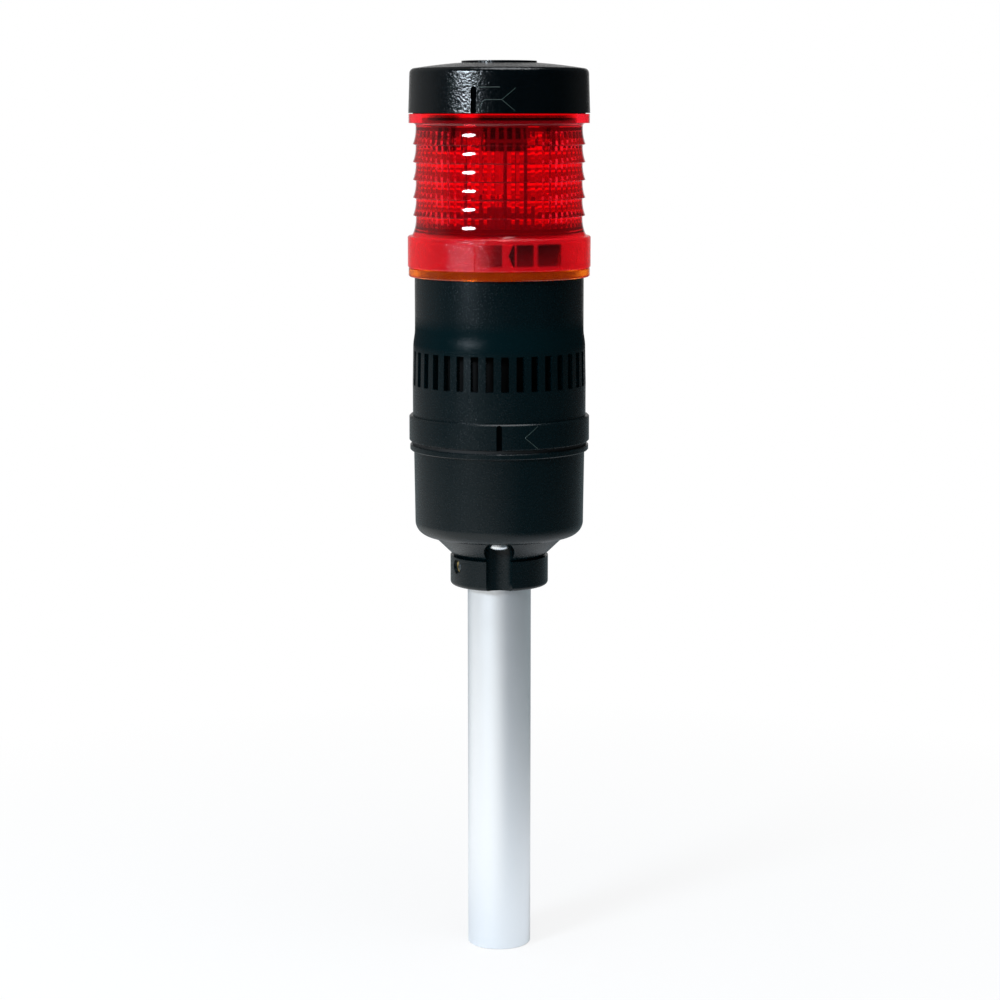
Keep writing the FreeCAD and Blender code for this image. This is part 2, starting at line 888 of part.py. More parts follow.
def make_lens():
    """The lens: flared ribs outside, upright flutes inside, a skirt below and a spigot above."""
    band = lens_band_r
    root = lens_root_r
    bore = lens_bore_r
    flange_r = rim_r - lens_flange_in
    band_top = light_joint + lens_band_h
    flange_bottom = lens_top - lens_flange_h
    plate_top = light_plate_low() + light_plate_t
    edge = lens_band_edge
    tips = rib_tips()
    spigot_top = cap_joint + spigot_h
    outline = lines(
        (skirt_r, light_joint),
        (band - light_seal_edge, light_joint),
        (band, light_joint + light_seal_edge),
        (band, band_top - edge),
    )
    outline.append(quarter(band - edge, band_top - edge, edge, 0, 90))
    shoulder_r = lens_tip_r + lens_shoulder_w
    outline += lines((band - edge, band_top), (shoulder_r, band_top), (lens_tip_r, tips[0]))
    for height in tips:
        if height > tips[0]:
            outline += lines((root, height - rib_cut), (lens_tip_r, height))
        above = height + rib_pitch - rib_cut
        bend = (root + rib_out * rib_hollow, (height + above) / 2)
        outline.append(arc((lens_tip_r, height), bend, (root, above)))
    outline += lines((root, above), (root, flange_bottom - lens_fillet_r))
    outline.append(quarter(root + lens_fillet_r, flange_bottom - lens_fillet_r, lens_fillet_r, 180, 90))
    seat = crown_seat()
    outline += lines(
        (root + lens_fillet_r, flange_bottom),
        (flange_r, flange_bottom),
        (flange_r, lens_top),
        (spigot_r, lens_top),
        (spigot_r, spigot_top),
        (cavity_r, spigot_top),
        (cavity_r, seat),
        (cavity_r - ledge_ring_w, seat),
        (cavity_r - ledge_ring_w, seat - lens_ledge_step),
        (bore, flute_top()),
        (bore, flute_bottom()),
        (bore - ledge_ring_w, plate_top + lens_ledge_step),
        (bore - ledge_ring_w, plate_top),
        (bore, plate_top),
        (bore, light_plate_low()),
        (skirt_r, light_plate_low()),
        (skirt_r, light_joint),
    )
    body = revolve(outline)
    body = fused(body, locks(light_joint, light_line) + lugs(cap_joint, cap_line))
    return body.cut([flutes(), line_mark(light_joint, band, light_line)])


def flute_bottom():
    return light_plate_low() + light_plate_t + lens_ledge_step + ledge_ring_w


def flute_top():
    return crown_seat() - lens_ledge_step - ledge_ring_w


def flutes():
    """The star-shaped prism that is taken out of the bore to leave its upright flutes."""
    crest = lens_bore_r - flute_crest
    root = lens_bore_r + flute_depth
    points = []
    for i in range(flute_count):
        for radius, share in ((crest, 0.0), (root, 0.5)):
            angle = 2 * math.pi * (i + share) / flute_count
            points.append(Vector(radius * math.cos(angle), radius * math.sin(angle), flute_bottom()))
    points.append(points[0])
    return Part.Face(Part.makePolygon(points)).extrude(Vector(0, 0, flute_top() - flute_bottom()))


def rail_set(low, high, clear=0.0):
    """The four contact rails, or with a clearance the slots that they stand in."""
    pieces = []
    for side_x in (-rail_x, rail_x):
        for side_y in (-rail_y, rail_y):
            rail = block(rail_w + 2 * clear, rail_t + 2 * clear, low, high, y=side_y, x=side_x)
            pieces.append(turned(rail, rail_turn_deg))
    return pieces


def make_rails():
    """Upright strips that pass the power on to the crown."""
    return Part.makeCompound(rail_set(light_plate_low(), crown_seat()))


def make_light_plate():
    low = light_plate_low()
    plate = cylinder(lens_bore_r - plate_clearance, low, low + light_plate_t)
    return plate.cut(rail_set(low - past, low + light_plate_t + past, plate_clearance))


def make_crown_plate():
    """The upper contact plate, with contact housings hanging down behind the lens."""
    low = crown_seat()
    plate = cylinder(plate_r, low, low + crown_plate_t)
    blocks = []
    for half in around(2):
        for place, width in zip(crown_block_deg, crown_block_w):
            foot = low - crown_block_h
            piece = block(width, crown_block_depth, foot, low + bury, y=-crown_block_radius)
            blocks.append(turned(piece, place + half))
    return fused(plate, blocks)


def make_socket():
    low = lamp_base()
    inner = socket_d / 2
    top = low + socket_h
    body = ring(inner, inner + socket_wall, low, top)
    slot_len = 2 * (inner + socket_wall + past)
    slot = block(slot_len, lamp_pin_d + 2 * pin_slot_clearance, top - pin_slot_depth, top + past)
    return body.cut(slot)


def lamp_base():
    return light_plate_low() + light_plate_t


def make_lamp_cap():
    """The lamp's metal cap with its two bayonet pins."""
    low = lamp_base()
    radius = lamp_cap_d / 2
    cap = cylinder(radius, low, low + lamp_cap_h)
    start = Vector(-radius - lamp_pin_out, 0, low + socket_h - lamp_pin_drop)
    pins = Part.makeCylinder(lamp_pin_d / 2, 2 * (radius + lamp_pin_out), start, Vector(1, 0, 0))
    return cap.fuse(pins).removeSplitter()


def make_tower():
    """The square column that carries the LED boards."""
    low = lamp_base() + lamp_cap_h
    column = block(tower_w, tower_w, low, low + tower_h)
    uprights = [edge for edge in column.Edges if edge.BoundBox.ZLength > tower_h / 2]
    return turned(column.makeFillet(tower_edge, uprights), rail_turn_deg)


def make_led_boards():
    low = lamp_base() + lamp_cap_h + (tower_h - led_board_h) / 2
    boards = []
    for place in around(4, rail_turn_deg):
        board = block(led_board_w, led_board_t, low, low + led_board_h, y=-(tower_w + led_board_t) / 2)
        boards.append(turned(board, place))
    return Part.makeCompound(boards)


def make_leds():
    middle = lamp_base() + lamp_cap_h + tower_h / 2
    face = tower_w / 2 + led_board_t
    chips = []
    for place in around(4, rail_turn_deg):
        for row in range(led_rows):
            height = middle + led_pitch * (row - (led_rows - 1) / 2)
            chip = block(led_w, led_t, height - led_w / 2, height + led_w / 2, y=-face - led_t / 2)
            chips.append(turned(chip, place))
    return Part.makeCompound(chips)


# ---------------------------------------------------------------- cap
def make_cap_seal():
    return ring(spigot_r + seal_clearance, skirt_r - cap_seal_inset, lens_top, lens_top + cap_seal_h)


def make_cap():
    """The domed cap with its skirt and a plain raised ring on top."""
    low_r = rim_r
    top_r = rim_r - cap_draft
    side_top = cap_joint + cap_side_h
    corner_z = side_top - cap_corner
    apex = side_top + cap_dome_h
    roof = side_top - cap_roof_t
    shoulder_r = top_r - cap_corner
    dome_r = (shoulder_r ** 2 + cap_dome_h ** 2) / (2 * cap_dome_h)
    half_turn = math.asin(shoulder_r / dome_r) / 2
    dome_middle = (dome_r * math.sin(half_turn), apex - dome_r * (1 - math.cos(half_turn)))
    outline = lines((skirt_r, cap_joint), (low_r, cap_joint), (top_r, corner_z))
    outline.append(quarter(shoulder_r, corner_z, cap_corner, 0, 90))
    outline.append(arc((shoulder_r, side_top), dome_middle, (0, apex)))
    outline += lines((0, apex), (0, roof), (skirt_r - cap_corner, roof), (skirt_r, roof - cap_corner))
    outline += lines((skirt_r, roof - cap_corner), (skirt_r, cap_joint))
    body = revolve(outline)
    ring_out = cap_ring_d / 2
    plain_ring = ring(ring_out - cap_ring_w, ring_out, side_top, apex + cap_ring_h - ring_drop())
    body = fused(body, locks(cap_joint, cap_line) + [plain_ring])
    return body.cut(line_mark(cap_joint, low_r, cap_line))


def ring_drop():
    """How far the dome has fallen from its apex at the raised ring."""
    share = (cap_ring_d / 2) / (rim_r - cap_draft - cap_corner)
    return cap_dome_h * share * share


# ---------------------------------------------------------------- the parts
parts = {
    "pole_tube": make_pole,
    "pole_adapter": make_adapter,
    "adapter_screws": make_adapter_screws,
    "adapter_inserts": make_adapter_inserts,
    "set_screws": make_set_screws,
    "set_screw_sleeves": make_set_sleeves,
    "base_housing": make_base,
    "base_contact_plate": make_base_plate,
    "base_contact_springs": lambda: contact_springs(sounder_joint),
    "terminal_block": make_terminal_block,
    "terminal_screws": make_terminal_screws,
    "base_seal": make_base_seal,
    "sounder_housing": make_sounder_housing,
    "sounder_carrier": make_sounder_carrier,
    "sounder_contact_pads": lambda: contact_pads(sounder_joint),
    "sound_horn": make_horn,
    "sound_driver": make_driver,
    "driver_diaphragm": make_diaphragm,
    "sounder_board": make_board,
    "volume_control": make_dial_body,
    "volume_dial": make_dial,
    "tone_switch": make_tone_body,
    "tone_lever": make_tone_lever,
    "sounder_contact_plate": make_sounder_plate,
    "sounder_contact_springs": lambda: contact_springs(light_joint),
    "light_seal": make_light_seal,
    "lens": make_lens,
    "light_plate": make_light_plate,
    "light_contact_pads": lambda: contact_pads(light_joint),
    "contact_rails": make_rails,
    "crown_plate": make_crown_plate,
    "lamp_socket": make_socket,
    "lamp_cap": make_lamp_cap,
    "lamp_column": make_tower,
    "led_boards": make_led_boards,
    "led_chips": make_leds,
    "cap_seal": make_cap_seal,
    "top_cap": make_cap,
}

for name, make in parts.items():
    save(name, make())
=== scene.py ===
# %% [markdown]
# # A stack light on its pole
# The part is a signal light for a machine: a pole, a base, a sounder and a red light under a cap.
# The construction model gives every piece its true form and place, so this script mostly gives finishes.
# It also adds what is too fine for the construction model: raised arrows and screw threads.
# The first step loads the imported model. Its objects sit at the origin and are never moved or changed.

# %% Load the frame
import json
import math

import bpy
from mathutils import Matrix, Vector

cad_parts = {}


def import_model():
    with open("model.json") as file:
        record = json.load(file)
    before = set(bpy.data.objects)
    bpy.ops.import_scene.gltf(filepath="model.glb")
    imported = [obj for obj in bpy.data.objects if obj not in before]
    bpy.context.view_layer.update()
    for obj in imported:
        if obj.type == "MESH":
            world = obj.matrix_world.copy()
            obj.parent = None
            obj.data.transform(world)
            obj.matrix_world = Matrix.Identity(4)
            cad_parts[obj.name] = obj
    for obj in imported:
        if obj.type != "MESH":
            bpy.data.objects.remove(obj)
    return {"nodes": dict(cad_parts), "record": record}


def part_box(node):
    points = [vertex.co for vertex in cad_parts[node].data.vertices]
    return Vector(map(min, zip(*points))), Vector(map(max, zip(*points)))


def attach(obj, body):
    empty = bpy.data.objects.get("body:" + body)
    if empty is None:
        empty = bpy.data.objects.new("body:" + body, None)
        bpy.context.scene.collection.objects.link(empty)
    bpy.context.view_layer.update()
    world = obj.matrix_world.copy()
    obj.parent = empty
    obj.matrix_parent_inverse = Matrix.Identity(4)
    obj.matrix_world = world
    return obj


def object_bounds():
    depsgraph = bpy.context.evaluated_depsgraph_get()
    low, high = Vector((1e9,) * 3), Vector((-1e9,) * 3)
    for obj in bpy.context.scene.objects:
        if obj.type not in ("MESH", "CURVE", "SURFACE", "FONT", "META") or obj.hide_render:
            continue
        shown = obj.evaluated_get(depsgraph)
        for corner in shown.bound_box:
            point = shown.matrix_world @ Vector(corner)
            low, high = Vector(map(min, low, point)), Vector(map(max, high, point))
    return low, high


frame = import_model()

cad_low, cad_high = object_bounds()
MM = 0.001
HEIGHT = cad_high.z - cad_low.z
SOUNDER_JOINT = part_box("base_seal")[1].z
CAP_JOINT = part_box("top_cap")[0].z
print("height", round(HEIGHT / MM, 1), "mm, width", round((cad_high.x - cad_low.x) / MM, 1), "mm")
print("joints at", round(SOUNDER_JOINT / MM, 1), "and", round(CAP_JOINT / MM, 1), "mm")

# %% [markdown]
# ## Node sheets
# A material and a Geometry Nodes tree are both sheets of nodes joined by links.
# Clicking them together by hand is one way. Here they are written, so that they can be read and repeated.
# One class adds a node: its settings come first, because they decide which sockets exist.
# A second class wraps a number that varies, so that a sum such as `1 - mask * 0.3` adds its own Math nodes.

# %% Numbers that add their own Math nodes
class Level:
    """A number on a sheet of nodes. Sums with it become Math nodes."""

    def __init__(self, sheet, socket):
        self.sheet = sheet
        self.socket = socket

    def math(self, operation, *values):
        node = self.sheet.add("ShaderNodeMath", {"operation": operation}, dict(enumerate(values)))
        return Level(self.sheet, node.outputs[0])

    def __add__(self, other):
        return self.math("ADD", self, other)

    def __sub__(self, other):
        return self.math("SUBTRACT", self, other)

    def __rsub__(self, other):
        return self.math("SUBTRACT", other, self)

    def __mul__(self, other):
        return self.math("MULTIPLY", self, other)

    def __truediv__(self, other):
        return self.math("DIVIDE", self, other)

    def __lt__(self, other):
        return self.math("LESS_THAN", self, other)

    def apply(self, operation):
        """A function of this number alone, such as its sine."""
        return self.math(operation, self)

    def most(self, other):
        """The larger of two numbers."""
        return self.math("MAXIMUM", self, other)

    __radd__ = __add__
    __rmul__ = __mul__


# %% Sheets of nodes
class Sheet:
    """A tree of nodes, with one way to add any node to it."""

    def __init__(self, tree):
        self.tree = tree

    def add(self, kind, settings=None, values=None):
        """Add a node, set it up, then give its sockets values or links."""
        node = self.tree.nodes.new(kind)
        for name, value in (settings or {}).items():
            setattr(node, name, value)
        for key, value in (values or {}).items():
            socket = node.inputs[key] if isinstance(key, int) else self.find(node, key)
            self.feed(socket, value)
        return node

    def find(self, node, key):
        """A socket by its identifier, or else by its name."""
        for socket in node.inputs:
            if socket.identifier == key:
                return socket
        return node.inputs[key]

    def feed(self, socket, value):
        if isinstance(value, Level):
            value = value.socket
        if isinstance(value, bpy.types.NodeSocket):
            self.tree.links.new(value, socket)
        else:
            socket.default_value = value

    def ramp(self, level, low, high, first=0.0, last=1.0):
        """Move a level from one range to another, and stop at its ends."""
        values = {0: level, 1: low, 2: high, 3: first, 4: last}
        node = self.add("ShaderNodeMapRange", {"interpolation_type": "LINEAR", "clamp": True}, values)
        return Level(self, node.outputs[0])

    def window(self, level, low, high, soft):
        """1 between two values and 0 outside them, with soft edges."""
        risen = self.ramp(level, low - soft / 2, low + soft / 2)
        return risen - self.ramp(level, high - soft / 2, high + soft / 2)

    def split(self, place):
        """The three numbers of a place or a direction: across, back and height."""
        node = self.add("ShaderNodeSeparateXYZ", None, {0: place})
        return [Level(self, socket) for socket in node.outputs]

    def turn(self, place):
        """Degrees round the part to a place or a direction: 0 in front, positive to the right."""
        across, back = self.split(place)[:2]
        return across.math("ARCTAN2", across, 0 - back) * math.degrees(1)


# %% [markdown]
# ## Finishes
# A real surface is never one flat colour. Moulded plastic has a fine grain, and a drawn tube has lines along
# it. Each finish below starts as a shader with plain numbers on its own sockets. Patterns that vary over the
# surface feed its colours, its roughness and its bump, or the factor that mixes two shaders.
# Patterns read Object coordinates, so they stay on the piece when it turns.

# %% The start of every finish
finishes = {}


class Finish(Sheet):
    """A material with one main shader. The constants are set on the shader's own sockets."""

    def __init__(self, name, **constants):
        self.material = bpy.data.materials.new(name)
        self.material.use_nodes = True
        super().__init__(self.material.node_tree)
        self.tree.nodes.clear()
        self.output = self.add("ShaderNodeOutputMaterial")
        self.shader = self.add("ShaderNodeBsdfPrincipled")
        for key, value in constants.items():
            self.feed(self.shader.inputs[key.replace("_", " ")], value)
        self.surface = self.shader.outputs[0]
        self.tree.links.new(self.surface, self.output.inputs["Surface"])
        self.place = self.add("ShaderNodeTexCoord").outputs["Object"]
        finishes[name] = self

    def stretched(self, along):
        """Object coordinates, scaled on each axis, so that a pattern is drawn out."""
        values = {"Vector": self.place, "Scale": along}
        return self.add("ShaderNodeMapping", {"vector_type": "POINT"}, values).outputs[0]

    def noise(self, size, detail=2.0, roughness=0.5, along=(1, 1, 1)):
        """Soft noise from 0 to 1, whose blots measure about `size` metres."""
        values = {"Vector": self.stretched(along), "Scale": 1 / size}
        values.update({"Detail": detail, "Roughness": roughness})
        return Level(self, self.add("ShaderNodeTexNoise", {"noise_dimensions": "3D"}, values).outputs[0])

    def grains(self, size):
        """Distance to the nearest grain, from 0 to about 1."""
        values = {"Vector": self.place, "Scale": 1 / size}
        return Level(self, self.add("ShaderNodeTexVoronoi", {"feature": "F1"}, values).outputs["Distance"])

    def groove(self, place, joint, radius, straight=8.75 * MM, end=1.0 * MM, half=1.9, depth=0.2 * MM):
        """1 inside an alignment groove and 0 elsewhere. The groove is straight, with a round upper end."""
        across, back, height = self.split(self.place)
        turn = self.turn(self.place)
        sides = self.window(turn, place - half, place + half, 0.1)
        inside = sides * self.window(height, joint - depth, joint + straight, 0.1 * MM)
        aside = (turn - place) * math.radians(radius)
        above = height - (joint + straight)
        inside = inside.most(aside * aside + above * above < end * end)
        reach = (across * across + back * back).apply("SQRT")
        return inside * (reach < radius - depth)

    def dull(self, mask, colour):
        """Mix in a plain colour that has no gloss."""
        plain = self.add("ShaderNodeBsdfDiffuse", None, {"Color": colour})
        values = {0: mask, 1: self.surface, 2: plain.outputs[0]}
        self.surface = self.add("ShaderNodeMixShader", None, values).outputs[0]
        self.tree.links.new(self.surface, self.output.inputs["Surface"])

    def mix(self, factor, first, second):
        """A colour between two colours."""
        values = {"Factor_Float": factor, "A_Color": first, "B_Color": second}
        node = self.add("ShaderNodeMix", {"data_type": "RGBA"}, values)
        return [out for out in node.outputs if out.identifier == "Result_Color"][0]

    def colour(self, socket):
        self.feed(self.shader.inputs["Base Color"], socket)

    def rough(self, level):
        self.feed(self.shader.inputs["Roughness"], level)

    def bump(self, level, height):
        """Raise the surface by up to `height` metres where the level is 1."""
        node = self.add("ShaderNodeBump", None, {"Height": level, "Distance": height})
        self.feed(self.shader.inputs["Normal"], node.outputs[0])


def rgb(red, green, blue):
    return (red, green, blue, 1.0)


# %% [markdown]
# ### Pole
# The pole is an aluminium tube, drawn through a die and then anodised. Drawing leaves faint lines along it.
# A bright metal with medium roughness gives the soft sheen, and noise stretched along the pole the lines.

# %% Drawn, anodised aluminium
def anodised_tube():
    finish = Finish("pole_aluminium", Metallic=0.8)
    lines = finish.noise(0.35 * MM, detail=3.0, along=(1, 1, 0.01))
    clouds = finish.noise(9 * MM)
    finish.colour(finish.mix(lines * 0.6 + clouds * 0.4, rgb(0.88, 0.91, 0.94), rgb(0.93, 0.95, 0.97)))
    finish.rough(finish.ramp(lines * 0.5 + clouds * 0.5, 0.3, 0.7, 0.34, 0.40))
    finish.bump(lines, 0.004 * MM)
    return finish


print("made", anodised_tube().material.name)

# %% [markdown]
# ### Black mouldings
# The housings have a fine grain, which breaks a highlight into specks. The cap's grain is coarser and its
# surface a little shinier. One function makes both, and each then gets painted shade inside its alignment
# groove.

# %% Moulded plastic
def moulded(name, dark, pale, rough, grain, depth, **constants):
    """Plastic with a fine grain, which breaks the highlight into specks."""
    finish = Finish(name, **constants)
    specks = finish.noise(grain, detail=2.0, roughness=0.55)
    clouds = finish.noise(14 * MM)
    finish.colour(finish.mix(clouds * 0.5 + specks * 0.5, dark, pale))
    finish.rough(finish.ramp(specks, 0.3, 0.7, rough - 0.05, rough + 0.05))
    finish.bump(specks, depth)
    return finish


# The painted shade inside the alignment grooves: a dark colour with no gloss.
GROOVE_SHADE = rgb(0.0004, 0.0008, 0.0010)


def housing_black():
    """The black of the housings. The sounder's groove is painted dark inside as shade, and its flare is kept
    dull.
    """
    dark, pale = rgb(0.0001, 0.0036, 0.0050), rgb(0.0005, 0.0060, 0.0078)
    finish = moulded("black_plastic", dark, pale, 0.24, 0.5 * MM, 0.085 * MM, Specular_IOR_Level=0.36)
    flare_low, flare_high = SOUNDER_JOINT + 35.6 * MM, SOUNDER_JOINT + 46.6 * MM
    height = finish.split(finish.place)[2]
    # No bright spot may show on the flare, so most of its gloss is taken away.
    finish.dull(finish.window(height, flare_low, flare_high, 5 * MM) * 0.8, rgb(0.0008, 0.0066, 0.0084))
    sounder_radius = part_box("sounder_housing")[1].x
    # The inside of the sounder's groove is painted dark, as shade.
    finish.dull(finish.groove(0.0, SOUNDER_JOINT, sounder_radius), GROOVE_SHADE)
    return finish


def cap_black():
    """The cap's black, with painted shade inside a groove 16 degrees to the left of the front."""
    dark, pale = rgb(0.0001, 0.0010, 0.0016), rgb(0.0003, 0.0024, 0.0034)
    finish = moulded("cap_plastic", dark, pale, 0.20, 0.9 * MM, 0.15 * MM)
    cap_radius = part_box("top_cap")[1].x
    # The inside of the cap's groove is painted dark, as shade.
    finish.dull(finish.groove(-16.0, CAP_JOINT, cap_radius), GROOVE_SHADE)
    return finish


print("made", housing_black().material.name, "and", cap_black().material.name)

# %% [markdown]
# ### Inner mouldings and seals
# The pieces inside are moulded too, each in the colour of its own plastic or rubber. The same function
# makes them all, so only a pair of colours, a roughness and a grain differ from one line to the next.

# %% Make the inner mouldings and the rubber
BODY_GRAIN, BODY_DEPTH = 0.5 * MM, 0.01 * MM
FINE_GRAIN, FINE_DEPTH = 0.3 * MM, 0.006 * MM
dark, pale = rgb(0.0006, 0.0008, 0.0010), rgb(0.0014, 0.0018, 0.0020)
moulded("inner_plastic", dark, pale, 0.62, 0.6 * MM, BODY_DEPTH, Specular_IOR_Level=0.1)
moulded("driver_case", rgb(0.015, 0.015, 0.016), rgb(0.028, 0.028, 0.03), 0.4, BODY_GRAIN, BODY_DEPTH)
moulded("socket_plastic", rgb(0.028, 0.026, 0.025), rgb(0.05, 0.047, 0.045), 0.5, BODY_GRAIN, BODY_DEPTH)
moulded("terminal_grey", rgb(0.23, 0.25, 0.26), rgb(0.3, 0.32, 0.33), 0.45, BODY_GRAIN, BODY_DEPTH)
moulded("control_body", rgb(0.02, 0.06, 0.24), rgb(0.03, 0.09, 0.32), 0.4, FINE_GRAIN, FINE_DEPTH)
moulded("control_white", rgb(0.72, 0.72, 0.69), rgb(0.82, 0.82, 0.79), 0.4, FINE_GRAIN, FINE_DEPTH)
moulded("lamp_white", rgb(0.78, 0.78, 0.76), rgb(0.86, 0.86, 0.84), 0.42, 0.4 * MM, FINE_DEPTH)
dark, pale = rgb(0.0010, 0.0024, 0.0030), rgb(0.0022, 0.0040, 0.0048)
moulded("black_rubber", dark, pale, 0.62, 0.35 * MM, 0.014 * MM)
print("mouldings", len(finishes))

# %% [markdown]
# ### Lens
# The lens is clear red plastic. Light from behind goes through two walls of it, and each wall takes out
# almost all green and blue. It could be faked with a see-through red skin, but then the ribs and flutes
# would not bend light. Real transmission with the plastic's own refraction makes them sparkle.
# Dark shapes show in the band, in the top flange and at the top rib. They are painted shade, which stands
# for the parts behind the lens that keep light from coming through, and they are painted into the red.

# %% Painted shade in the lens
LENS_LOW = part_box("lens")[0].z
BAND_TOP = LENS_LOW + 12.2 * MM
SHADE_LOW, SHADE_HIGH = LENS_LOW + 1.9 * MM, LENS_LOW + 10.2 * MM
FLUTES = 64


def painted_band_shade(finish, turn, height):
    """Four patches of painted shade in the band, where the lock behind it blocks light: one that grows darker
    to the right, an arrow head and two long ones.
    """
    blurred = (finish.ramp(turn, -16.0, -1.0) - finish.ramp(turn, 1.4, 2.2)) * 0.75
    arrow_point, arrow_back, degrees_a_metre = 5.6, 9.6, 700.0
    aside = (height - (SHADE_LOW + SHADE_HIGH) / 2).apply("ABSOLUTE")
    arrow = finish.window(turn, aside * degrees_a_metre + arrow_point, arrow_back, 0.8)
    shade = blurred.most(arrow)
    darker_above = finish.ramp(height, SHADE_LOW, SHADE_HIGH, 0.75, 1.0)
    for first, last in ((10.6, 21.6), (24.3, 41.4)):
        shade = shade.most(finish.window(turn, first, last, 1.2) * darker_above)
    return shade * finish.window(height, SHADE_LOW, SHADE_HIGH, 0.9 * MM)


def painted_flange_shade(finish, turn, height):
    """Painted shade in two stretches of the top flange, in front of the crown plate."""
    around = finish.window(turn, -50.0, -27.0, 4.0) + finish.window(turn, -14.0, 53.0, 5.0)
    return around * finish.window(height, CAP_JOINT - 2.9 * MM, CAP_JOINT - 0.7 * MM, 0.6 * MM)


def painted_housing_dashes(finish, turn, height):
    """Two rows of painted dark dashes at the top rib, one to each flute: painted shade in front of the
    contact housings.
    """
    dashes = finish.ramp((turn * math.radians(FLUTES)).apply("SINE"), -0.75, 0.0)
    around = finish.window(turn, -47.6, -29.6, 1.5) + finish.window(turn, -11.0, 18.0, 1.5)
    around = around + finish.window(turn, 31.0, 39.5, 1.5)
    upper = finish.window(height, CAP_JOINT - 9.8 * MM, CAP_JOINT - 5.3 * MM, 0.8 * MM)
    lower = finish.window(height, CAP_JOINT - 14.3 * MM, CAP_JOINT - 11.1 * MM, 0.8 * MM)
    return around * dashes * (upper + lower * 0.8) * 0.9


print("dark shapes from", round(SHADE_LOW / MM, 1), "to", round(SHADE_HIGH / MM, 1), "mm")

# %% Clear red plastic
POLISHED = {"Transmission_Weight": 0.96, "IOR": 1.49, "Specular_IOR_Level": 0.3, "Emission_Strength": 1.0}
PEBBLED = {"Transmission Weight": 0.86, "IOR": 1.49, "Specular IOR Level": 0.35, "Emission Strength": 1.0}
BLACK = rgb(0, 0, 0)


def clear_red():
    """Two shaders in one material: polished plastic for the ribs, pebbled plastic for the band."""
    finish = Finish("red_lens", **POLISHED)
    turn = finish.turn(finish.place)
    height = finish.split(finish.place)[2]
    # The painted shade of the parts behind the lens darkens its red.
    shade = painted_band_shade(finish, turn, height) + painted_flange_shade(finish, turn, height)
    shade = shade + painted_housing_dashes(finish, turn, height)
    clouds = finish.noise(6 * MM)
    clear = finish.mix(clouds, rgb(0.98, 0.010, 0.026), rgb(1.0, 0.016, 0.036))
    tint = finish.mix(shade * 0.92, clear, rgb(0.10, 0.004, 0.006))
    finish.colour(tint)
    # A weak painted red glow stands for light scattered in the plastic. It goes out where the shade is
    # painted.
    finish.feed(finish.shader.inputs["Emission Color"], finish.mix(shade, rgb(0.03, 0, 0.0005), BLACK))
    finish.rough(finish.ramp(clouds, 0.3, 0.7, 0.03, 0.06))
    # The band's pebbled face scatters light.
    pebbles = finish.noise(0.7 * MM, detail=1.0)
    grain = finish.add("ShaderNodeBump", None, {"Height": pebbles, "Distance": 0.27 * MM})
    values = dict(PEBBLED, Roughness=0.11, Normal=grain.outputs[0])
    values["Base Color"] = tint
    # The band has a brighter painted glow than the ribs, which also goes out where the shade is painted.
    values["Emission Color"] = finish.mix(shade, rgb(0.11, 0.0006, 0.0015), BLACK)
    pebbled = finish.add("ShaderNodeBsdfPrincipled", None, values)
    in_band = finish.ramp(height, BAND_TOP, BAND_TOP + 0.4 * MM, 1.0, 0.0)
    values = {0: in_band, 1: finish.shader.outputs[0], 2: pebbled.outputs[0]}
    both = finish.add("ShaderNodeMixShader", None, values)
    finish.tree.links.new(both.outputs[0], finish.output.inputs["Surface"])
    return finish


print("made", clear_red().material.name)

# %% [markdown]
# ### Seal under the lens
# The ring under the lens lets some light through. It could be plain orange, but then it would let none
# through. So it gets the lens's transmission, with a lower refraction, a rougher surface and an amber colour.

# %% The amber seal
def clear_amber():
    """The translucent ring under the lens."""
    finish = Finish("amber_seal", **dict(POLISHED, IOR=1.41))
    clouds = finish.noise(3 * MM)
    finish.colour(finish.mix(clouds, rgb(1.0, 0.20, 0.006), rgb(1.0, 0.34, 0.012)))
    # A weak painted red glow stands for light scattered in the ring.
    finish.feed(finish.shader.inputs["Emission Color"], finish.mix(clouds, rgb(0.03, 0, 0), rgb(0.08, 0, 0)))
    finish.rough(finish.ramp(clouds, 0.3, 0.7, 0.10, 0.20))
    return finish


print("made", clear_amber().material.name)

# %% [markdown]
# ### Metals and boards
# Small metal pieces differ in how they were worked: screws are zinc plated, sleeves are turned,
# contact springs are stamped. A metal is mostly its colour and its roughness, with lines where a tool ran.
# Noise that is stretched along one axis or two gives the lines, which is simpler than a picture of them.

# %% Worked metal
def metal(name, colour, worn, rough, line, along):
    finish = Finish(name, Metallic=1.0)
    lines = finish.noise(line, detail=3.0, along=along)
    finish.colour(finish.mix(lines, colour, worn))
    finish.rough(finish.ramp(lines, 0.3, 0.7, rough - 0.06, rough + 0.06))
    finish.bump(lines, 0.003 * MM)


metal("zinc_steel", rgb(0.74, 0.78, 0.82), rgb(0.88, 0.91, 0.94), 0.28, 0.4 * MM, (1, 1, 1))
metal("brass", rgb(0.66, 0.47, 0.17), rgb(0.80, 0.62, 0.28), 0.26, 0.3 * MM, (0.1, 0.1, 1))
metal("spring_bronze", rgb(0.64, 0.40, 0.20), rgb(0.78, 0.55, 0.32), 0.30, 0.3 * MM, (1, 0.1, 1))
metal("dark_rail", rgb(0.008, 0.008, 0.010), rgb(0.02, 0.02, 0.022), 0.45, 0.3 * MM, (1, 1, 0.05))
metal("nickel", rgb(0.58, 0.56, 0.52), rgb(0.72, 0.70, 0.66), 0.18, 0.3 * MM, (0.1, 0.1, 1))
print("finishes so far", len(finishes))


